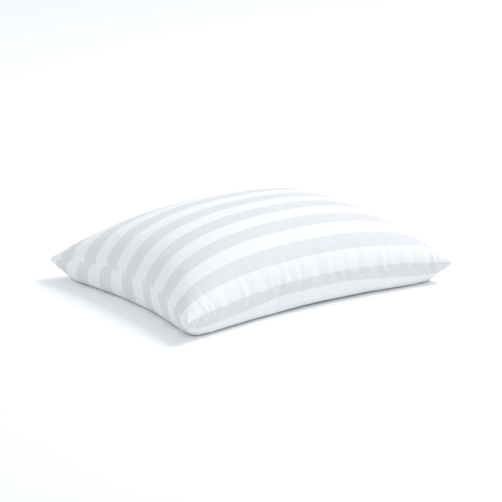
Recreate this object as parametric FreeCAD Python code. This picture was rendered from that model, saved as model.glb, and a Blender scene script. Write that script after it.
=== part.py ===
"""A sewn bed pillow, lying flat on the surface that it rests on.

Frame: +Z is up, +X runs along the long sides, and the origin is on the resting surface, under the middle.
Sizes are in millimetres.

The cover is two flat rectangular panels, sewn face to face and turned, so it has no side wall. Filling it
draws the middle of each side in and leaves an ear at each corner. The filling opening is in the short side
at +X, and is sewn shut last. Every surface here is a sheet over two numbers, s along X and t along Y, that
both run from -1 to 1.
"""

import FreeCAD
import Part
import math
import os

# ---- Cover ----
CORNER_SPAN_X = 632.0     # ear to ear along a long side
CORNER_SPAN_Y = 484.0     # ear to ear along a short side
SHORT_SIDE_DRAW = 38.0    # how far the middle of a short side is drawn in
LONG_SIDE_DRAW = 36.0     # how far the middle of a long side is drawn in
THICKNESS = 165.0         # resting surface to the top of the crown
SEAM_HEIGHT = 62.0        # seam above the resting surface, in the middle of a side
EAR_HEIGHT = 40.0         # seam above the resting surface, at an ear
BASE_PRESS = 80.0         # how far the belly would hang below the surface that flattens it
FULLNESS = 1.15           # 1 gives an elliptical crown, more gives a flatter top and rounder sides
CLOTH = 1.0               # thickness of a cover panel

# ---- Seam ----
ALLOWANCE = 10.0          # width of the turned-in edge of each panel
THREAD = 0.5              # sewing thread, across
LOCKSTITCH_INSET = 2.0    # lockstitch line, in from the seam edge
OVERLOCK_REACH = 4.0      # how much of the turned-in edge the overlock covers

# ---- Filling opening and its closing stitches ----
OPENING_LENGTH = 210.0
CLOSING_PITCH = 5.0
CLOSING_STITCH = 5.0      # height of one stitch across the seam

# ---- Filling ----
FILL_CLEARANCE = 0.5      # between the filling and what surrounds it

# ---- Care label, sewn into the short side at +X ----
LABEL_Y = 165.0           # middle of the label
LABEL_WIDTH = 28.0
LABEL_DROP = 30.0
LABEL_CLOTH = 0.4
LABEL_TAB = 5.0           # how far it reaches into the seam
LABEL_STAND_OFF = 0.4     # between the seam edge and the hanging part

# ---- Sheets ----
LIFT_FADE = 8             # more confines a sheet's lift more closely to its edge
POINTS_S = 17
POINTS_T = 15

HALF_X = CORNER_SPAN_X / 2
HALF_Y = CORNER_SPAN_Y / 2
TOP_RISE = THICKNESS - SEAM_HEIGHT
BASE_DROP = SEAM_HEIGHT + BASE_PRESS
BEYOND = 2 * (CORNER_SPAN_X + CORNER_SPAN_Y)     # longer than anything here


def outline(u, v, inset):
    """Plan position: each side is a parabola that bows inwards between two ears."""
    x = u * (HALF_X - inset - SHORT_SIDE_DRAW * (1 - v * v))
    y = v * (HALF_Y - inset - LONG_SIDE_DRAW * (1 - u * u))
    return x, y


def seam_height(u, v):
    """The seam dips towards the ears, where no filling holds it up."""
    return SEAM_HEIGHT - (SEAM_HEIGHT - EAR_HEIGHT) * (u * v) ** 2


def swell(s, t):
    """Height of the crown, 0 on the seam and 1 in the middle."""
    def across(w):
        return 1 - (1 - math.cos(math.pi * w / 2)) ** FULLNESS
    return across(s) * across(t)


def sheet_point(s, t, inset, lift, rise):
    """A point of a sheet that is lifted off the seam at its edge and raised in its middle."""
    u, v = math.sin(math.pi * s / 2), math.sin(math.pi * t / 2)
    x, y = outline(u, v, inset)
    height = swell(s, t)
    return FreeCAD.Vector(x, y, seam_height(u, v) + lift * (1 - height) ** LIFT_FADE + rise * height)


def steps(count):
    return [-1 + 2 * i / (count - 1) for i in range(count)]


def spline_through(points):
    """A cubic spline through the points, one step of its parameter apart."""
    curve = Part.BSplineCurve()
    curve.interpolate(Points=points, Parameters=steps(len(points)))
    return curve


def sheet(inset, lift, rise):
    """A domed sheet that fills the outline, inset from the seam and lifted off it."""
    along_t = [
        spline_through([sheet_point(s, t, inset, lift, rise) for t in steps(POINTS_T)])
        for s in steps(POINTS_S)
    ]
    along_s = [spline_through(list(column)) for column in zip(*[c.getPoles() for c in along_t])]
    surface = Part.BSplineSurface()
    surface.buildFromPolesMultsKnots(
        [list(row) for row in zip(*[c.getPoles() for c in along_s])],
        along_s[0].getMultiplicities(),
        along_t[0].getMultiplicities(),
        along_s[0].getKnots(),
        along_t[0].getKnots(),
        False,
        False,
        along_s[0].Degree,
        along_t[0].Degree,
    )
    return surface.toShape()


def seam_lines(inset, lift):
    """The outline's four sides, inset and lifted: two short ones, then two long ones."""
    short = [
        spline_through([sheet_point(s, t, inset, lift, 0) for t in steps(POINTS_T)]) for s in (-1, 1)
    ]
    long = [
        spline_through([sheet_point(s, t, inset, lift, 0) for s in steps(POINTS_S)]) for t in (-1, 1)
    ]
    return short + long


def band(start, end):
    """Four ruled faces round the outline, between two (inset, lift) places."""
    return [
        Part.makeRuledSurface(a.toShape(), b.toShape())
        for a, b in zip(seam_lines(*start), seam_lines(*end))
    ]


def solid_of(faces):
    shell = Part.makeCompound(faces)
    shell.sewShape()
    solid = Part.Solid(shell.Shells[0])
    if solid.Volume < 0:
        solid.reverse()
    return solid


def rim(profile):
    """A closed profile of (inset, lift) places, carried round the seam."""
    faces = []
    for start, end in zip(profile, profile[1:] + profile[:1]):
        faces += band(start, end)
    return solid_of(faces)


def rim_box(inset, lift, width, height):
    return rim([
        (inset, lift),
        (inset + width, lift),
        (inset + width, lift + height),
        (inset, lift + height),
    ])


def above(height):
    """Everything from that height up."""
    corner = FreeCAD.Vector(-BEYOND / 2, -BEYOND / 2, height)
    return Part.makeBox(BEYOND, BEYOND, BEYOND, corner)


def slice_at(y, width):
    """Everything in the +X half within that width about y."""
    corner = FreeCAD.Vector(0, y - width / 2, -BEYOND / 2)
    return Part.makeBox(BEYOND, width, BEYOND, corner)


def care_label():
    """A strip held between the panels' turned-in edges, that comes out of the seam and hangs down."""
    half = LABEL_CLOTH / 2
    inner = -LABEL_STAND_OFF
    outer = inner - LABEL_CLOTH
    strip = rim([
        (LABEL_TAB, half),
        (outer, half),
        (outer, -LABEL_DROP),
        (inner, -LABEL_DROP),
        (inner, -half),
        (LABEL_TAB, -half),
    ])
    return strip.common(slice_at(LABEL_Y, LABEL_WIDTH))


def cover_panel(rise, cloth):
    """A domed wall whose edge turns in at the seam; a negative rise and cloth dome it downwards."""
    return solid_of(
        [sheet(0, 0, rise), sheet(CLOTH, cloth, rise - cloth)]
        + band((CLOTH, cloth), (ALLOWANCE, cloth))
        + band((ALLOWANCE, cloth), (ALLOWANCE, 0))
        + band((ALLOWANCE, 0), (0, 0))
    )


def top_cover_panel():
    return cover_panel(TOP_RISE, CLOTH).cut(care_label())


def bottom_cover_panel():
    """The belly is cut off at the resting surface, and a flat base closes it there. The base reaches as far
    as the middle of the wall's thickness."""
    wall = cover_panel(-BASE_DROP, -CLOTH).common(above(0))
    reach = CLOTH / 2
    core = solid_of([sheet(reach, 0, TOP_RISE), sheet(reach, 0, reach - BASE_DROP)])
    base = core.common(above(0)).cut(above(CLOTH))
    return wall.fuse(base).removeSplitter().cut(care_label())


def fibre_fill():
    """Fills the cover as far as the seam, where its edge is blunt and clears the overlock."""
    gap = CLOTH + FILL_CLEARANCE
    edge = ALLOWANCE + THREAD + FILL_CLEARANCE
    blunt = CLOTH + THREAD + FILL_CLEARANCE
    body = solid_of(
        [sheet(edge, blunt, TOP_RISE - gap), sheet(edge, -blunt, gap - BASE_DROP)]
        + band((edge, blunt), (edge, -blunt))
    )
    return body.common(above(gap))


def stitched(ring):
    """A seam thread runs all the way round but for the filling opening."""
    return ring.cut(slice_at(0, OPENING_LENGTH))


def needle_thread():
    return stitched(rim_box(LOCKSTITCH_INSET, CLOTH, THREAD, THREAD))


def bobbin_thread():
    return stitched(rim_box(LOCKSTITCH_INSET, -CLOTH - THREAD, THREAD, THREAD))


def overlock_thread():
    """Wraps the two turned-in edges, as a channel open towards the seam."""
    near, edge = ALLOWANCE - OVERLOCK_REACH, ALLOWANCE
    outside = CLOTH + THREAD
    return stitched(rim([
        (near, CLOTH),
        (near, outside),
        (edge + THREAD, outside),
        (edge + THREAD, -outside),
        (near, -outside),
        (near, -CLOTH),
        (edge, -CLOTH),
        (edge, CLOTH),
    ]))


def closing_stitches():
    """Upright bars over the seam edge, from one end of the filling opening to the other."""
    count = int(OPENING_LENGTH / CLOSING_PITCH) + 1
    first = -(count - 1) * CLOSING_PITCH / 2
    edging = rim_box(-THREAD, -CLOSING_STITCH / 2, THREAD, CLOSING_STITCH)
    slices = Part.makeCompound([slice_at(first + i * CLOSING_PITCH, THREAD) for i in range(count)])
    return edging.common(slices)


NODES = {
    "top_cover_panel": top_cover_panel,
    "bottom_cover_panel": bottom_cover_panel,
    "fibre_fill": fibre_fill,
    "needle_thread": needle_thread,
    "bobbin_thread": bobbin_thread,
    "overlock_thread": overlock_thread,
    "closing_stitches": closing_stitches,
    "care_label": care_label,
}


def main():
    os.makedirs("parts", exist_ok=True)
    for name, build in NODES.items():
        shape = build()
        if not shape.isValid() or shape.Volume <= 0:
            raise RuntimeError(f"{name} isn't a valid solid")
        shape.exportStep(f"parts/{name}.step")
        print(f"{name}: {len(shape.Solids)} solid(s), {shape.Volume / 1000:.2f} cm3")


main()
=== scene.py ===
"""The looks of a sewn bed pillow: a striped woven cover round a fibre filling, lying on a pale floor.

Metres, in the CAD frame: +X along the long sides, +Z up, the origin under the middle. The cover starts as two
flat panels, p along X and q along Y, each from -1 to 1, which are puffed up and then settled as cloth.
"""

import bpy
import math
import numpy as np
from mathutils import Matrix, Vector


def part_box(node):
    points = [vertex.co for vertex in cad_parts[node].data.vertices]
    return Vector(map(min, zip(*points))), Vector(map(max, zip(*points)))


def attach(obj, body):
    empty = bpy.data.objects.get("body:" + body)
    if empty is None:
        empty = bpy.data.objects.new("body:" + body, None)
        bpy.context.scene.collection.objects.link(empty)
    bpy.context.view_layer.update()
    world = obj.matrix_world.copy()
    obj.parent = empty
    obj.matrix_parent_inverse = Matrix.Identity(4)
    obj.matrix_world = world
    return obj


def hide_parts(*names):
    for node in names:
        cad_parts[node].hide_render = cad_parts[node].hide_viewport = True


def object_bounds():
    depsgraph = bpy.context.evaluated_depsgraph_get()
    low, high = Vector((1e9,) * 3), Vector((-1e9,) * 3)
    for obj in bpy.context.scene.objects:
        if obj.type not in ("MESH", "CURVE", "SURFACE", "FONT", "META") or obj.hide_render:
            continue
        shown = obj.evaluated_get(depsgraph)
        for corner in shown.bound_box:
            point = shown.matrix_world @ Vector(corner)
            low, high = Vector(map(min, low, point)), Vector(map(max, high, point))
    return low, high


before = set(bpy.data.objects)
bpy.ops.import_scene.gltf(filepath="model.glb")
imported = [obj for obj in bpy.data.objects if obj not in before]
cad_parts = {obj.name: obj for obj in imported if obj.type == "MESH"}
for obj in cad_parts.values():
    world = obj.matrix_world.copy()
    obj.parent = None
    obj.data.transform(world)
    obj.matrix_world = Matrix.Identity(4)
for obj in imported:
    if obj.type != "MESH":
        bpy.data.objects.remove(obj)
CAD_LOW, CAD_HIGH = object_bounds()

# ---- The two panels, as cut ----
CUT_X = 0.660
CUT_Y = 0.510
STRIPE = 0.034                  # width of one stripe; satin and plain stripes are equally wide
BOTTOM_STRIPE_SHIFT = 0.014     # how far the bottom panel's stripes are set off from the top panel's

# ---- The stuffed shape, from the CAD model ----
SPAN_X = CAD_HIGH.x - CAD_LOW.x
SPAN_Y = CAD_HIGH.y - CAD_LOW.y
THICKNESS = CAD_HIGH.z - CAD_LOW.z
EAR_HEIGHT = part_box("top_cover_panel")[0].z
SEAM_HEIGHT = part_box("bottom_cover_panel")[1].z
DRAW_X = 0.038                  # how far the middle of a short side is drawn in
DRAW_Y = 0.036                  # how far the middle of a long side is drawn in
BASE_PRESS = 0.140              # how far the belly would hang below the floor that flattens it
FULLNESS = 1.15                 # 1 gives an elliptical crown, more gives rounder sides

# ---- Start shape of the cloth ----
START_SHARE = 0.985             # it starts a little smaller than the CAD shape, and swells
START_HEADROOM = 0.003          # and its crown a little lower
START_LIFT = 0.001              # its lowest height above the floor
START_RIPPLE = 0.0012
START_RIPPLE_REACH = 0.02       # from the seam inwards
START_RIPPLE_WAVES = (0.017, 0.021, 0.026, 0.033, 0.045)
ARC_STEPS = 2001                # of the table that measures its arcs

# ---- Cloth simulation ----
CELL = 0.006
SIM_FRAMES = 20
SIM_VOLUME = 0.0320             # cubic metres, that the cloth closes in
SIM_GRAVITY = 0.02              # share of full gravity; more of it flattens the ears
SIM_GAP = 0.004                 # that the solver keeps between cloth and floor
SEED = 7

# ---- Finished surface ----
FINE_CELL = 0.003
SEAM_ROWS = (0.0008, 0.0018, 0.0032, 0.005)     # rows of points beside the seam
SEAM_STEP = 0.8 * FINE_CELL     # from the last of them to the first even row
SEAM_RELIEF = 0.0002            # depth of the valley on the seam, and height of the rolls beside it
VALLEY_WIDTH = 0.0012
ROLL_PLACE = 0.004
ROLL_WIDTH = 0.003
SEAM_FADE = 0.0015              # over which puckers and folds rise from nothing on the seam line
PUCKER = 0.0006                 # fine gathers along the seam
PUCKER_REACH = 0.011
PUCKER_WAVES = (0.0095, 0.012, 0.016, 0.023)
PUCKER_CHANGE = 0.4             # how far their depth comes and goes along the seam
PUCKER_CHANGE_WAVES = (0.11, 0.17, 0.29)
EAR_FOLD = 0.0017               # deeper folds beside the ears
EAR_FOLD_REACH = 0.024
EAR_FOLD_WAVES = (0.013, 0.017, 0.022)
EAR_FOLD_SLANT = 0.25           # how far they shift along the seam for each metre inwards
EAR_FOLD_PLACE = 0.045          # from the ear, along the seam
EAR_FOLD_SPREAD = 0.028

# ---- Filling ----
FILL_GAP = 0.0022               # between the filling and the cover
FILL_LEAST = 0.3                # least share of the room between the panels that it takes
FILL_ROWS_IN = 6                # rows of the fine grid from the seam to the filling's edge

# ---- Seam threads ----
THREAD = 0.0005
DRAWN_RADIUS = THREAD / 3       # of a thread that is drawn tight in the seam
CLOSING_RADIUS = THREAD / 2
STITCH_LENGTH = 0.0025
LOCKSTITCH_INSET = 0.002
ALLOWANCE = 0.010               # width of the turned-in edge
OVERLOCK_REACH = 0.004          # how much of the turned-in edge the overlock covers
OVERLOCK_HEIGHT = 0.0008        # above and below the middle of the seam
OVERLOCK_PITCH = 0.003
DEEP_ROWS = 10                  # rows of the fine grid that reach well inside the seam
OPENING_LENGTH = 0.210
CLOSING_PITCH = 0.005
CLOSING_SLANT = 0.0024          # along the seam, from end to end of a stitch
CLOSING_HEIGHTS = (-0.6, 0.3, 0.55, 0.8, 0.55, 0.3, -0.6)     # in thread widths, row by row over the edge
CLOSING_ROWS = len(CLOSING_HEIGHTS) // 2                      # to each side of the edge

# ---- Care label ----
LABEL_Y = 0.172
LABEL_WIDTH = 0.028
LABEL_DROP = 0.031
LABEL_TUCK = 0.004              # how far it reaches into the seam
LABEL_CLOTH = 0.0004
LABEL_BEND = 0.0012
LABEL_BOW = 0.0020              # outwards, half-way down
LABEL_BOW_START = 0.004
LABEL_CURL = 0.0012             # across its width, at its lower end
LABEL_ROWS = 34                 # of points, down its length
LABEL_COLUMNS = 15

# ---- Cloth coordinates: the panels side by side in one unit square ----
UV_UNIT = 1.1                   # metres to the unit
BOTTOM_ISLAND = 16 * STRIPE - BOTTOM_STRIPE_SHIFT     # past the top panel, which is 15 stripes across
LABEL_ISLAND = 0.05             # the label's place in a unit square of its own

# ---- Finishes ----
COVER_PITCH = 0.00045           # from yarn to yarn
LABEL_PITCH = 0.0004
YARN_ALONG = 25.0               # how fast a yarn's thickness changes along it, per metre
YARN_ACROSS = 900.0             # and from yarn to yarn
YARN_SPREAD = (0.3, 0.7)        # the usual thinnest and thickest
YARN_TONES = (0.975, 1.0)       # their brightness
PLAIN_STRIPE = (0.90, 0.905, 0.91)
SATIN_STRIPE = (0.765, 0.775, 0.79)
PLAIN_ROUGHNESS = 0.82
SATIN_ROUGHNESS = 0.58
FIRST_SATIN = 1.5 * STRIPE      # middle of the first satin stripe, from the cut edge
STRIPE_WAVER = 0.0016           # how far the edge of a stripe wanders
STRIPE_BLUR = 0.05              # half-width of that edge, on the cosine across the stripes
COVER_RELIEF = 0.0012
WEAVE_SHARE = 0.05              # of that relief
YARN_SHARE = 0.08
LABEL_RELIEF = 0.00006
LABEL_TONES = ((0.80, 0.81, 0.82), (0.92, 0.92, 0.92))
PLY_LENGTH = 0.0012
PLY_RELIEF = 0.00008
# from the grooves between the plies, darkened with painted shade, to their crests
THREAD_TONES_WITH_GROOVE_SHADE = ((0.78, 0.79, 0.80), (0.93, 0.93, 0.93))
FIBRE_WANDER = 0.02
FIBRE_RELIEF = 0.001
# from the dips between the strands, darkened with painted shade, to the strands
FIBRE_TONES_WITH_GAP_SHADE = ((0.72, 0.73, 0.74), (0.9, 0.9, 0.9))

# ---- Floor, light and camera ----
FLOOR_REACH = 9.0
FLOOR_TONE = (0.97, 0.972, 0.975)
SKY = 0.84
SKY_TONE = (0.91, 0.95, 1.0)
KEY_PLACE = (2.6, -0.5, 3.6)
KEY_AIM = (0, 0, 0.05)
KEY_SIZE = 1.7
KEY_POWER = 88
KEY_TONE = (1, 0.98, 0.95)
VIEW = (-36, 17)                # azimuth and elevation, in degrees
DISTANCE = 4.0
LENS = 148
AIM = (0, 0, 0.06)


def smooth_ripples(rng, along, wavelengths):
    """A sum of sines of those wavelengths, with random phases, about 1 high."""
    phases = rng.uniform(0, 2 * np.pi, len(wavelengths))
    waves = [np.sin(2 * np.pi * along / w + f) for w, f in zip(wavelengths, phases)]
    return sum(waves) / math.sqrt(len(wavelengths))


def even_angle(w, half, rise):
    """Angle, as a share of a right angle, at which a share w of a half ellipse's arc is covered."""
    angle = np.linspace(-np.pi / 2, np.pi / 2, ARC_STEPS)
    step = np.hypot(np.diff(half * np.sin(angle)), np.diff(rise * np.cos(angle)))
    arc = np.concatenate([[0], np.cumsum(step)])
    return np.interp(w, arc / arc[-1] * 2 - 1, angle) / (np.pi / 2)


def puffed(p, q, rise):
    """The stuffed panel: x = u (START_SHARE times the half span - draw (1 - v^2)), y likewise, z = seam
    height + rise times the crown, with u = sin of the angle along X and v = sin of the angle along Y. The
    angles run from even steps along the arc, in the middle of the panel, to even steps along the chord, at
    its edges."""
    edge_s, edge_t = np.arcsin(p) * 2 / np.pi, np.arcsin(q) * 2 / np.pi
    mid_s = even_angle(p, SPAN_X / 2, abs(rise))
    mid_t = even_angle(q, SPAN_Y / 2, abs(rise))
    s = edge_s + (mid_s - edge_s) * np.cos(np.pi / 2 * edge_t)
    t = edge_t + (mid_t - edge_t) * np.cos(np.pi / 2 * edge_s)
    u, v = np.sin(np.pi / 2 * s), np.sin(np.pi / 2 * t)
    crown_s, crown_t = (1 - (1 - np.cos(np.pi / 2 * w)) ** FULLNESS for w in (s, t))
    crown = crown_s * crown_t
    x = u * (START_SHARE * SPAN_X / 2 - DRAW_X * (1 - v * v))
    y = v * (START_SHARE * SPAN_Y / 2 - DRAW_Y * (1 - u * u))
    z = SEAM_HEIGHT - (SEAM_HEIGHT - EAR_HEIGHT) * (u * v) ** 2 + rise * crown
    return np.stack([x, y, np.maximum(z, START_LIFT)], axis=-1)


class Bag:
    """Two panels on one grid, joined along their edges: index tables, faces and cloth coordinates."""

    def __init__(self, xs, ys):
        self.x, self.y = np.meshgrid(xs, ys, indexing="ij")
        self.inside = np.zeros(self.x.shape, bool)
        self.inside[1:-1, 1:-1] = True
        self.top = np.arange(self.x.size).reshape(self.x.shape)
        self.bottom = self.top.copy()
        self.bottom[self.inside] = self.x.size + np.arange(self.inside.sum())
        self.faces = np.concatenate([self.quads(self.top), self.quads(self.bottom)[:, ::-1]])

    @staticmethod
    def quads(i):
        """Corners of each face of a grid of point numbers, turning from X to Y."""
        return np.stack([i[:-1, :-1], i[1:, :-1], i[1:, 1:], i[:-1, 1:]], axis=-1).reshape(-1, 4)

    def join(self, top, bottom):
        """Values on the top panel's grid, then those inside the bottom panel's."""
        inner = bottom[self.inside].reshape(self.inside.sum(), -1)
        return np.concatenate([top.reshape(self.x.size, -1), inner])

    def split(self, values):
        """The two panels' grids of those values."""
        return values[self.top], values[self.bottom]


def new_mesh(name, points, faces):
    mesh = bpy.data.meshes.new(name)
    mesh.from_pydata(points.tolist(), [], faces.tolist())
    mesh.update()
    return mesh


def new_object(name, data):
    piece = bpy.data.objects.new(name, data)
    bpy.context.collection.objects.link(piece)
    return piece


def level_square(name, half, height):
    """One face at that height, reaching half to each side of the middle."""
    corners = np.array([(x * half, y * half, height) for x, y in ((-1, -1), (1, -1), (1, 1), (-1, 1))])
    return new_object(name, new_mesh(name, corners, np.array([[0, 1, 2, 3]])))


def interpolated(wanted, places, values):
    """Rows of values, known at those places, worked out for the wanted ones."""
    return np.stack([np.interp(wanted, places, column) for column in values.T], axis=-1)


def start_shape(bag):
    """The puffed panels with faint ripples at the seams, which the cloth turns into puckers."""
    rng = np.random.default_rng(SEED)
    p, q = bag.x / (CUT_X / 2), bag.y / (CUT_Y / 2)
    top = puffed(p, q, THICKNESS - SEAM_HEIGHT - START_HEADROOM)
    bottom = puffed(p, q, -(SEAM_HEIGHT + BASE_PRESS))
    points = bag.join(top, bottom)
    x, y = bag.join(bag.x, bag.x)[:, 0], bag.join(bag.y, bag.y)[:, 0]
    for across, along, half, axis in ((x, y, CUT_X / 2, 0), (y, x, CUT_Y / 2, 1)):
        for sign in (-1, 1):
            fade = np.exp(-(half - np.abs(across)) / START_RIPPLE_REACH)
            near = START_RIPPLE * fade * (np.sign(across) == sign)
            points[:, axis] += near * smooth_ripples(rng, along, START_RIPPLE_WAVES)
            points[:, 2] += near * smooth_ripples(rng, along, START_RIPPLE_WAVES)
    return points


def settled(bag):
    """The start shape as cloth that wants to be as flat and large as it was cut, round a set volume."""
    points = start_shape(bag)
    cover = new_object("settling_cover", new_mesh("settling_cover", points, bag.faces))
    cover.shape_key_add(name="puffed")
    cut = cover.shape_key_add(name="as_cut")
    flat = np.stack([bag.x, bag.y, np.zeros_like(bag.x)], axis=-1)
    cut.data.foreach_set("co", bag.join(flat, flat).astype(np.float32).ravel())
    floor = level_square("settling_floor", 1, -SIM_GAP)
    floor.modifiers.new("collision", "COLLISION")
    floor.collision.thickness_outer = SIM_GAP / 2
    cloth = cover.modifiers.new("cloth", "CLOTH")
    weave = cloth.settings
    weave.quality = 8
    weave.mass = 0.3
    weave.tension_stiffness = 60
    weave.compression_stiffness = 30
    weave.shear_stiffness = 4
    weave.bending_stiffness = 0.3
    weave.air_damping = 2
    weave.use_pressure = True
    weave.uniform_pressure_force = 0
    weave.use_pressure_volume = True
    weave.target_volume = SIM_VOLUME
    weave.pressure_factor = 60
    weave.rest_shape_key = cut
    weave.effector_weights.gravity = SIM_GRAVITY
    cloth.collision_settings.distance_min = SIM_GAP / 2
    cloth.collision_settings.use_self_collision = False
    cloth.point_cache.frame_start, cloth.point_cache.frame_end = 1, SIM_FRAMES
    for number in range(1, SIM_FRAMES + 1):
        bpy.context.scene.frame_set(number)
    mesh = cover.evaluated_get(bpy.context.evaluated_depsgraph_get()).data
    result = np.empty(len(mesh.vertices) * 3, np.float32)
    mesh.vertices.foreach_get("co", result)
    for piece in (cover, floor):
        bpy.data.objects.remove(piece)
    bpy.context.scene.frame_set(1)
    return result.reshape(-1, 3).astype(float)


def spline_weights(old, new):
    """Catmull-Rom weights that carry values on the evenly spaced old places to the new ones. The value
    beyond each end is the line through the last two carried on."""
    step = old[1] - old[0]
    place = np.clip((new - old[0]) / step, 0, len(old) - 1)
    left = np.minimum(place.astype(int), len(old) - 2)
    f = (place - left)[:, None]
    blend = np.concatenate(
        [-f + 2 * f**2 - f**3, 2 - 5 * f**2 + 3 * f**3, f + 4 * f**2 - 3 * f**3, -(f**2) + f**3], axis=1
    ) / 2
    padded = np.zeros((len(new), len(old) + 2))
    for k in range(4):
        padded[np.arange(len(new)), left + k] += blend[:, k]
    weights = padded[:, 1:-1].copy()
    weights[:, 0] += 2 * padded[:, 0]
    weights[:, 1] -= padded[:, 0]
    weights[:, -1] += 2 * padded[:, -1]
    weights[:, -2] -= padded[:, -1]
    return weights


def graded(cut):
    """Places across a panel: close together beside the seams, then every few millimetres."""
    rows = np.array(SEAM_ROWS)
    first = rows[-1] + SEAM_STEP
    middle = np.linspace(first - cut / 2, cut / 2 - first, int(round((cut - 2 * first) / FINE_CELL)) + 1)
    return np.concatenate([[-cut / 2], rows - cut / 2, middle, cut / 2 - rows[::-1], [cut / 2]])


def point_normals(points, faces):
    """Area-weighted normals at the points of a closed quad mesh."""
    a, b, c, d = (points[faces[:, k]] for k in range(4))
    cross = np.cross(c - a, d - b)
    total = np.zeros_like(points)
    for k in range(4):
        np.add.at(total, faces[:, k], cross)
    return total / np.linalg.norm(total, axis=1, keepdims=True).clip(1e-12)


def seam_distance(bag):
    """The lesser of the distances, on the cut cloth, to the nearest short and long side."""
    return np.minimum(CUT_X / 2 - np.abs(bag.x), CUT_Y / 2 - np.abs(bag.y))


def seam_relief(bag):
    """Height to add along the normal: a narrow valley on the seam line, a soft roll on each side of it,
    fine puckers that fade a centimetre away, and deeper, slanting folds beside the ears."""
    rng = np.random.default_rng(SEED + 1)
    away = seam_distance(bag)
    valley = -SEAM_RELIEF * np.exp(-((away / VALLEY_WIDTH) ** 2))
    rolls = SEAM_RELIEF * np.exp(-(((away - ROLL_PLACE) / ROLL_WIDTH) ** 2))
    sides = []
    for _ in range(2):
        puckers = np.zeros_like(bag.x)
        for across, along, half, end in (
            (bag.x, bag.y, CUT_X / 2, CUT_Y / 2),
            (bag.y, bag.x, CUT_Y / 2, CUT_X / 2),
        ):
            to_ear = end - np.abs(along)
            beside_ear = np.exp(-(((to_ear - EAR_FOLD_PLACE) / EAR_FOLD_SPREAD) ** 2))
            for sign in (-1, 1):
                distance = half - sign * across
                fade = np.minimum(distance / SEAM_FADE, 1)
                change = PUCKER_CHANGE * smooth_ripples(rng, along, PUCKER_CHANGE_WAVES)
                depth = PUCKER * (1 - PUCKER_CHANGE + change) * fade * np.exp(-distance / PUCKER_REACH)
                puckers += depth * smooth_ripples(rng, along, PUCKER_WAVES)
                depth = EAR_FOLD * beside_ear * fade * np.exp(-distance / EAR_FOLD_REACH)
                puckers += depth * smooth_ripples(rng, along + EAR_FOLD_SLANT * distance, EAR_FOLD_WAVES)
        sides.append(valley + rolls + puckers)
    return bag.join(sides[0], sides[1])


def without_zigzags(count):
    """Weights (-1, 4, 10, 4, -1) / 16 along a line of points, which take out what alternates from point to
    point and keep slower waves. The last two points at each end stay."""
    weights = np.eye(count)
    for shift, share in ((-2, -1), (-1, 4), (0, 10), (1, 4), (2, -1)):
        inner = np.arange(2, count - 2)
        weights[inner, inner + shift] = share / 16
    return weights


def finished_points(coarse, fine, points):
    """The settled cloth without its zigzags, on the fine grid, lowered onto the floor, with the seam's
    relief added along its normals."""
    calm_x, calm_y = (without_zigzags(count) for count in coarse.x.shape)
    along_x = spline_weights(coarse.x[:, 0], fine.x[:, 0]) @ calm_x
    along_y = spline_weights(coarse.y[0], fine.y[0]) @ calm_y
    panels = [np.einsum("ai,ijk,bj->abk", along_x, panel, along_y) for panel in coarse.split(points)]
    result = fine.join(panels[0], panels[1])
    result[:, 2] -= result[:, 2].min()
    result += point_normals(result, fine.faces) * seam_relief(fine)
    result[:, 2] = np.maximum(result[:, 2], 0)
    return result


def lay_out(mesh, bag, place, back_offset):
    """UV map: the front panel's places, and the back panel's moved over by back_offset, in metres."""
    front, back = place.reshape(-1, 2), (place + back_offset).reshape(-1, 2)
    quads = bag.quads(bag.top)
    corners = np.concatenate([front[quads], back[quads[:, ::-1]]])
    layer = mesh.uv_layers.new(name="cloth")
    layer.data.foreach_set("uv", (corners / UV_UNIT).astype(np.float32).ravel())


def dress(piece, node):
    """The piece stands for that CAD node, whose part it hides, and belongs to the object."""
    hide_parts(node)
    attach(piece, "root")


def tubes(name, paths, ups, radius, sides=6):
    """Round threads: each path's points plus radius times (cos a) sideways plus (sin a) up. The UV map has
    the length along the thread, in metres, and the share of the way round it."""
    count, length = paths.shape[:2]
    ahead = np.gradient(paths, axis=1)
    sideways = np.cross(ahead, ups)
    sideways /= np.linalg.norm(sideways, axis=-1, keepdims=True)
    upright = np.cross(sideways, ahead)
    upright /= np.linalg.norm(upright, axis=-1, keepdims=True)
    angle = np.linspace(0, 2 * np.pi, sides, endpoint=False)[:, None]
    around = np.cos(angle) * sideways[:, :, None] + np.sin(angle) * upright[:, :, None]
    points = (paths[:, :, None] + radius * around).reshape(-1, 3)
    ring = np.arange(count * length * sides).reshape(count, length, sides)
    after = np.roll(ring, -1, axis=2)
    walls = np.stack([ring[:, :-1], ring[:, 1:], after[:, 1:], after[:, :-1]], axis=-1).reshape(-1, 4)
    ends = ring[:, 0, :].tolist() + ring[:, -1, ::-1].tolist()
    mesh = bpy.data.meshes.new(name)
    mesh.from_pydata(points.tolist(), [], walls.tolist() + ends)
    mesh.update()
    arc = np.cumsum(np.linalg.norm(np.diff(paths, axis=1, prepend=paths[:, :1]), axis=-1), axis=1)
    coords = np.stack(np.broadcast_arrays(arc[:, :, None], np.arange(sides) / sides), axis=-1)
    corners = np.empty(len(mesh.loops), np.int32)
    mesh.loops.foreach_get("vertex_index", corners)
    layer = mesh.uv_layers.new(name="thread")
    layer.data.foreach_set("uv", coords.reshape(-1, 2)[corners].astype(np.float32).ravel())
    mesh.shade_smooth()
    return new_object(name, mesh)


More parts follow.
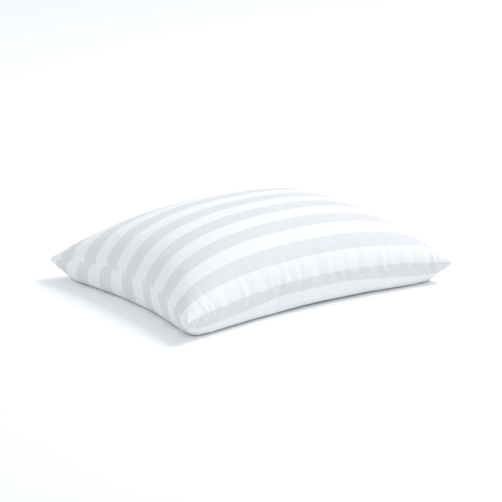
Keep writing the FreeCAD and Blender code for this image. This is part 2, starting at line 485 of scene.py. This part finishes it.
class Seam:
    """The seam's edge, all round but for the opening. Inwards is the direction from the edge to a place
    halfway between the panels, well inside them, and up is the direction there from panel to panel."""

    def __init__(self, bag, points):
        top, bottom = bag.split(points)
        last_i, last_j = bag.x.shape[0] - 1, bag.x.shape[1] - 1
        middle = bag.x.shape[1] // 2
        i = np.concatenate([
            np.full(last_j - middle, last_i),
            np.arange(last_i, 0, -1),
            np.zeros(last_j, int),
            np.arange(last_i),
            np.full(middle + 1, last_i),
        ])
        j = np.concatenate([
            np.arange(middle, last_j),
            np.full(last_i, last_j),
            np.arange(last_j, 0, -1),
            np.zeros(last_i, int),
            np.arange(middle + 1),
        ])
        sewn = (bag.x[i, j] < 0) | (np.abs(bag.y[i, j]) > OPENING_LENGTH / 2)
        i, j = i[sewn], j[sewn]
        deep_i = np.clip(i, DEEP_ROWS, last_i - DEEP_ROWS)
        deep_j = np.clip(j, DEEP_ROWS, last_j - DEEP_ROWS)
        self.edge = top[i, j]
        self.inwards = (top + bottom)[deep_i, deep_j] / 2 - self.edge
        self.up = (top - bottom)[deep_i, deep_j]

    def evenly(self, pitch, samples):
        """Distance along the seam, edge points and unit directions, that many samples to each pitch."""
        arc = np.concatenate([[0], np.cumsum(np.linalg.norm(np.diff(self.edge, axis=0), axis=1))])
        wanted = np.linspace(0, arc[-1], int(arc[-1] / pitch) * samples + 1)
        edge, inwards, up = (
            interpolated(wanted, arc, values) for values in (self.edge, self.inwards, self.up)
        )
        inwards /= np.linalg.norm(inwards, axis=1, keepdims=True)
        up /= np.linalg.norm(up, axis=1, keepdims=True)
        return wanted[:, None], edge, inwards, up


def lockstitch_thread(seam, name, node, side):
    """Lies to one side of the seam allowance and dips to the other's thread between stitches: its height
    is |cos| of the way along."""
    arc, edge, inwards, up = seam.evenly(STITCH_LENGTH, samples=6)
    lift = side * np.abs(np.cos(np.pi * arc / STITCH_LENGTH)) * THREAD
    line = edge + LOCKSTITCH_INSET * inwards + lift * up
    thread = tubes(name, line[None], up[None], DRAWN_RADIUS)
    dress(thread, node)
    return thread


def overlock_thread(seam):
    """A flat helix round both turned-in edges: inwards by cos and up by sin of the way along."""
    arc, edge, inwards, up = seam.evenly(OVERLOCK_PITCH, samples=10)
    turn = 2 * np.pi * arc / OVERLOCK_PITCH
    depth = ALLOWANCE - OVERLOCK_REACH / 2 * (1 - np.cos(turn))
    line = edge + depth * inwards + OVERLOCK_HEIGHT * np.sin(turn) * up
    thread = tubes("overlock_wrap", line[None], up[None], DRAWN_RADIUS)
    dress(thread, "overlock_thread")
    return thread


def across_seam(bag, values, cloth_y):
    """Values on the lines that cross the +X seam: CLOSING_ROWS rows in on the top panel, over the edge, and
    as many in on the bottom one."""
    top, bottom = bag.split(values)
    lines = [top[-1 - k] for k in range(CLOSING_ROWS, -1, -1)]
    lines += [bottom[-1 - k] for k in range(1, CLOSING_ROWS + 1)]
    columns = [interpolated(cloth_y[:, n], bag.y[0], line) for n, line in enumerate(lines)]
    return np.stack(columns, axis=1)


def closing_stitches(bag, points):
    """Slanting stitches over the edge, all along the filling opening."""
    count = int(OPENING_LENGTH / CLOSING_PITCH) + 1
    place = (np.arange(count) - (count - 1) / 2)[:, None] * CLOSING_PITCH
    cloth_y = place + np.linspace(-0.5, 0.5, len(CLOSING_HEIGHTS)) * CLOSING_SLANT
    normals = across_seam(bag, point_normals(points, bag.faces), cloth_y)
    paths = across_seam(bag, points, cloth_y)
    height = THREAD * np.array(CLOSING_HEIGHTS)[:, None]
    thread = tubes("closing_thread", paths + height * normals, normals, CLOSING_RADIUS)
    dress(thread, "closing_stitches")
    return thread


def care_label(bag, points):
    """A blank strip that comes out of the seam and bends down: level, then a quarter turn, then straight. It
    bows outwards by a sine of the way down, and curls by a cosine of the way across."""
    along = np.linspace(-LABEL_TUCK, LABEL_DROP, LABEL_ROWS)
    width = np.linspace(-LABEL_WIDTH / 2, LABEL_WIDTH / 2, LABEL_COLUMNS)
    edge = interpolated(LABEL_Y + width, bag.y[0], bag.split(points)[0][-1])
    outward = np.cross(np.gradient(edge, axis=0), (0, 0, 1))
    outward[:, 2] = 0
    outward /= np.linalg.norm(outward, axis=1, keepdims=True)
    bend = LABEL_BEND * np.pi / 2
    turn = np.clip(along / bend, 0, 1) * np.pi / 2
    out = np.where(along < 0, along, LABEL_BEND * np.sin(turn))
    out = out + LABEL_BOW * np.sin(np.pi * np.clip(along - LABEL_BOW_START, 0, 1) / LABEL_DROP)
    down = LABEL_BEND * (1 - np.cos(turn)) + np.maximum(along - bend, 0)
    strip = Bag(width, along)
    curl = LABEL_CURL * np.cos(np.pi * strip.x / LABEL_WIDTH) * np.clip(strip.y / LABEL_DROP, 0, 1)
    middle = edge[:, None] + (out[None] + curl)[..., None] * outward[:, None]
    middle[..., 2] -= down
    facing = np.cross(np.gradient(middle, axis=0), np.gradient(middle, axis=1))
    facing *= LABEL_CLOTH / 2 / np.linalg.norm(facing, axis=-1, keepdims=True)
    facing *= strip.inside[..., None]
    mesh = new_mesh("blank_label", strip.join(middle + facing, middle - facing), strip.faces)
    place = np.stack([strip.x, strip.y], axis=-1) + LABEL_ISLAND
    lay_out(mesh, strip, place, np.array((2 * LABEL_ISLAND, 0)))
    mesh.shade_smooth()
    label = new_object("blank_label", mesh)
    dress(label, "care_label")
    return label


def filling_mesh(bag, points):
    """Filling inside the cover: the line halfway between the panels, plus and minus a little less than
    half their distance, as far as the turned-in edges."""
    keep = slice(FILL_ROWS_IN, -FILL_ROWS_IN)
    inner = Bag(bag.x[keep, 0], bag.y[0, keep])
    top, bottom = (panel[keep, keep] for panel in bag.split(points))
    reach = (top - bottom) / 2
    room = np.linalg.norm(reach, axis=-1, keepdims=True)
    reach *= (1 - FILL_GAP / room).clip(FILL_LEAST, 1) * inner.inside[..., None]
    middle = (top + bottom) / 2
    mesh = new_mesh("filling", inner.join(middle + reach, middle - reach), inner.faces)
    mesh.shade_smooth()
    return mesh


# ---- Pieces ----
coarse = Bag(
    np.linspace(-CUT_X / 2, CUT_X / 2, int(round(CUT_X / CELL)) + 1),
    np.linspace(-CUT_Y / 2, CUT_Y / 2, int(round(CUT_Y / CELL)) + 1),
)
fine = Bag(graded(CUT_X), graded(CUT_Y))
cover_points = finished_points(coarse, fine, settled(coarse))
cover_mesh = new_mesh("cover", cover_points, fine.faces)
cloth_place = np.stack([fine.x + CUT_X / 2, fine.y + CUT_Y / 2], axis=-1)
lay_out(cover_mesh, fine, cloth_place, np.array((0, BOTTOM_ISLAND)))
cover_mesh.shade_smooth()
cover = new_object("cover", cover_mesh)
dress(cover, "top_cover_panel")
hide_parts("bottom_cover_panel")

filling = new_object("filling", filling_mesh(fine, cover_points))
dress(filling, "fibre_fill")

seam = Seam(fine, cover_points)
needle = lockstitch_thread(seam, "needle_stitching", "needle_thread", 1)
bobbin = lockstitch_thread(seam, "bobbin_stitching", "bobbin_thread", -1)
overlock = overlock_thread(seam)
closing = closing_stitches(fine, cover_points)
label = care_label(fine, cover_points)


# ---- Finishes ----
def add(tree, kind, inputs=None, **properties):
    """Adds a shader node. An input is given a constant, or another node's output to link to it."""
    made = tree.nodes.new("ShaderNode" + kind)
    for name, value in properties.items():
        setattr(made, name, value)
    for key, value in (inputs or {}).items():
        if isinstance(value, bpy.types.NodeSocket):
            tree.links.new(value, made.inputs[key])
        else:
            made.inputs[key].default_value = value
    return made


def calculate(tree, operation, first, second=0.0, third=0.0):
    """One sum on numbers that change over the surface."""
    return add(tree, "Math", {0: first, 1: second, 2: third}, operation=operation).outputs[0]


def times(tree, vector, factors):
    """The vector or colour, each of its numbers times its own factor."""
    return add(tree, "VectorMath", {0: vector, 1: factors}, operation="MULTIPLY").outputs[0]


def remap(tree, value, source, target, interpolation="LINEAR"):
    """Carries the range source onto the range target, and stays at its ends beyond them."""
    ends = {"From Min": source[0], "From Max": source[1], "To Min": target[0], "To Max": target[1]}
    return add(tree, "MapRange", {"Value": value, **ends}, interpolation_type=interpolation).outputs[0]


def noise(tree, place, scale, detail, dimensions="2D"):
    inputs = {"Vector": place, "Scale": scale, "Detail": detail}
    return add(tree, "TexNoise", inputs, noise_dimensions=dimensions)


def mixed(tree, share, first, second):
    """The first colour where share is 0, and the second where it is 1."""
    inputs = {0: share, 6: (*first, 1), 7: (*second, 1)}
    return add(tree, "Mix", inputs, data_type="RGBA").outputs[2]


def toned(tree, share, tones):
    """A ramp from the first tone, where share is 0, to the second, where it is 1."""
    ramp = add(tree, "ValToRGB", {"Fac": share})
    for stop, tone in zip(ramp.color_ramp.elements, tones):
        stop.color = (*tone, 1)
    return ramp.outputs["Color"]


def bump(tree, shader, height, depth):
    """Feeds the shader's Normal: a height of 1 stands that deep."""
    made = add(tree, "Bump", {"Height": height, "Distance": depth, "Strength": 1.0})
    tree.links.new(made.outputs[0], shader.inputs["Normal"])


def new_material(name, pieces, **constants):
    """A material on those pieces. The constants set the Principled BSDF's own sockets."""
    material = bpy.data.materials.new(name)
    material.use_nodes = True
    shader = material.node_tree.nodes["Principled BSDF"]
    for key, value in constants.items():
        shader.inputs[key.replace("_", " ")].default_value = value
    for piece in pieces:
        piece.data.materials.append(material)
    return material.node_tree, shader


def weave_group():
    """Crossing yarns. Place and Pitch are in metres of cloth. Height is the product of a sine along X and
    one along Y, carried to 0 to 1; as Float goes to 1 it turns to unbroken ridges along X. Yarn is the slow
    change of thickness along the yarns, about 0.5."""
    group = bpy.data.node_groups.new("weave", "ShaderNodeTree")
    face = group.interface
    face.new_socket("Place", in_out="INPUT", socket_type="NodeSocketVector")
    face.new_socket("Pitch", in_out="INPUT", socket_type="NodeSocketFloat").default_value = COVER_PITCH
    face.new_socket("Float", in_out="INPUT", socket_type="NodeSocketFloat").default_value = 0.0
    face.new_socket("Height", in_out="OUTPUT", socket_type="NodeSocketFloat")
    face.new_socket("Yarn", in_out="OUTPUT", socket_type="NodeSocketFloat")
    entry = group.nodes.new("NodeGroupInput").outputs
    leave = group.nodes.new("NodeGroupOutput").inputs
    place = add(group, "SeparateXYZ", {0: entry["Place"]}).outputs
    steps = [calculate(group, "DIVIDE", place[axis], entry["Pitch"]) for axis in (0, 1)]
    waves = [calculate(group, "SINE", calculate(group, "MULTIPLY", step, math.pi)) for step in steps]
    crossing = calculate(group, "MULTIPLY", waves[0], waves[1])
    ridges = calculate(group, "ABSOLUTE", waves[1])
    both = add(group, "Mix", {"Factor": entry["Float"], "A": crossing, "B": ridges}, data_type="FLOAT")
    group.links.new(remap(group, both.outputs[0], (-1.0, 1.0), (0.0, 1.0)), leave["Height"])
    streaks = [
        noise(group, times(group, entry["Place"], stretch), scale=1.0, detail=2.0).outputs["Fac"]
        for stretch in ((YARN_ALONG, YARN_ACROSS, 1.0), (YARN_ACROSS, YARN_ALONG, 1.0))
    ]
    mean = calculate(group, "MULTIPLY", calculate(group, "ADD", streaks[0], streaks[1]), 0.5)
    group.links.new(mean, leave["Yarn"])
    return group


def cloth_place_of(tree):
    """Place on the cut cloth, in metres."""
    uv = add(tree, "UVMap", uv_map="cloth")
    return times(tree, uv.outputs[0], (UV_UNIT, UV_UNIT, 1.0))


def woven(tree, group, place, pitch, float_share=None):
    """The weave, placed in a material; where float_share is 1, it is satin."""
    made = tree.nodes.new("ShaderNodeGroup")
    made.node_tree = group
    made.inputs["Pitch"].default_value = pitch
    tree.links.new(place, made.inputs["Place"])
    if float_share is not None:
        tree.links.new(float_share, made.inputs["Float"])
    return made.outputs


def cover_cloth(group):
    """White cotton, woven in satin and plain stripes of one colour of yarn: the satin looks greyer. It is
    satin where the cosine of half a turn to the stripe is above 0, and the edges waver a little."""
    tree, shader = new_material(
        "striped_cotton", [cover], Sheen_Weight=0.25, Sheen_Roughness=0.4, Specular_IOR_Level=0.3
    )
    place = cloth_place_of(tree)
    waver = calculate(tree, "SUBTRACT", noise(tree, place, scale=9.0, detail=1.0).outputs["Fac"], 0.5)
    wavering = calculate(tree, "MULTIPLY", waver, STRIPE_WAVER)
    across = calculate(tree, "ADD", add(tree, "SeparateXYZ", {0: place}).outputs[1], wavering)
    past_middle = calculate(tree, "SUBTRACT", across, FIRST_SATIN)
    wave = calculate(tree, "COSINE", calculate(tree, "MULTIPLY", past_middle, math.pi / STRIPE))
    satin = remap(tree, wave, (-STRIPE_BLUR, STRIPE_BLUR), (0.0, 1.0), "SMOOTHSTEP")
    weave = woven(tree, group, place, COVER_PITCH, satin)
    brightness = remap(tree, weave["Yarn"], YARN_SPREAD, YARN_TONES)
    colour = times(tree, mixed(tree, satin, PLAIN_STRIPE, SATIN_STRIPE), brightness)
    tree.links.new(colour, shader.inputs["Base Color"])
    roughness = remap(tree, satin, (0.0, 1.0), (PLAIN_ROUGHNESS, SATIN_ROUGHNESS))
    tree.links.new(roughness, shader.inputs["Roughness"])
    creases = noise(tree, place, scale=34.0, detail=3.0).outputs["Fac"]
    crossings = calculate(tree, "MULTIPLY", weave["Height"], WEAVE_SHARE)
    yarns = calculate(tree, "MULTIPLY", weave["Yarn"], YARN_SHARE)
    relief = calculate(tree, "ADD", calculate(tree, "ADD", crossings, creases), yarns)
    bump(tree, shader, relief, COVER_RELIEF)


def fibre():
    """Tangled polyester staple, with painted shade in the dips between the strands."""
    tree, shader = new_material("polyester_fibre", [filling], Sheen_Weight=0.5, Roughness=0.9)
    place = add(tree, "TexCoord").outputs["Object"]
    drift = noise(tree, place, scale=30.0, detail=3.0, dimensions="3D").outputs["Color"]
    wander = times(tree, drift, (FIBRE_WANDER,) * 3)
    moved = add(tree, "VectorMath", {0: wander, 1: place}, operation="ADD").outputs[0]
    waves = {"Vector": moved, "Scale": 240.0, "Distortion": 6.0, "Detail": 3.0}
    strands = add(tree, "TexWave", waves).outputs["Fac"]
    # The tone follows the strands' height: painted shade in the dips between them.
    tree.links.new(toned(tree, strands, FIBRE_TONES_WITH_GAP_SHADE), shader.inputs["Base Color"])
    bump(tree, shader, strands, FIBRE_RELIEF)


def sewing_thread():
    """Two-ply twisted sewing thread: diagonal bands round the tube, with painted shade in the grooves between
    the plies.
    """
    tree, shader = new_material(
        "sewing_thread", [needle, bobbin, overlock, closing], Sheen_Weight=0.3, Roughness=0.55
    )
    uv = add(tree, "SeparateXYZ", {0: add(tree, "UVMap", uv_map="thread").outputs[0]}).outputs
    twist = calculate(tree, "MULTIPLY", uv[0], 2 * math.pi / PLY_LENGTH)
    round_it = calculate(tree, "MULTIPLY", uv[1], 4 * math.pi)
    ply = calculate(tree, "SINE", calculate(tree, "ADD", twist, round_it))
    share = calculate(tree, "MULTIPLY_ADD", ply, 0.5, 0.5)
    # The tone follows the ply height: painted shade in the grooves, lighter on the crests.
    tree.links.new(toned(tree, share, THREAD_TONES_WITH_GROOVE_SHADE), shader.inputs["Base Color"])
    bump(tree, shader, ply, PLY_RELIEF)


def label_tape(group):
    """White ribbon in a plain weave."""
    tree, shader = new_material("label_ribbon", [label], Sheen_Weight=0.4, Roughness=0.38)
    weave = woven(tree, group, cloth_place_of(tree), LABEL_PITCH)
    tree.links.new(toned(tree, weave["Yarn"], LABEL_TONES), shader.inputs["Base Color"])
    bump(tree, shader, weave["Height"], LABEL_RELIEF)


weave = weave_group()
cover_cloth(weave)
fibre()
sewing_thread()
label_tape(weave)


# ---- Floor, light and camera ----
def pale_floor():
    floor = level_square("pale_floor", FLOOR_REACH, 0.0)
    new_material("pale_paper", [floor], Base_Color=(*FLOOR_TONE, 1), Roughness=0.95)


def sky():
    world = bpy.data.worlds.new("studio")
    world.use_nodes = True
    back = world.node_tree.nodes["Background"]
    back.inputs["Color"].default_value = (*SKY_TONE, 1)
    back.inputs["Strength"].default_value = SKY
    bpy.context.scene.world = world


def turned_to(place, aim):
    """The turn that points an object's own -Z from the place to the aim, with its +Y upwards."""
    return (Vector(aim) - Vector(place)).to_track_quat("-Z", "Y").to_euler()


def key_light():
    data = bpy.data.lights.new("key", "AREA")
    data.energy = KEY_POWER
    data.size = KEY_SIZE
    data.color = KEY_TONE
    lamp = new_object("key", data)
    lamp.location = KEY_PLACE
    lamp.rotation_euler = turned_to(KEY_PLACE, KEY_AIM)


def camera():
    """Stands DISTANCE from the aim, at that azimuth (0 looks along +Y) and elevation."""
    data = bpy.data.cameras.new("camera")
    data.lens = LENS
    eye = new_object("camera", data)
    around, up = math.radians(VIEW[0]), math.radians(VIEW[1])
    back = Vector((math.sin(around) * math.cos(up), -math.cos(around) * math.cos(up), math.sin(up)))
    eye.location = Vector(AIM) + DISTANCE * back
    eye.rotation_euler = turned_to(eye.location, AIM)
    bpy.context.scene.camera = eye


pale_floor()
sky()
key_light()
camera()
bpy.context.scene.view_settings.view_transform = "Standard"
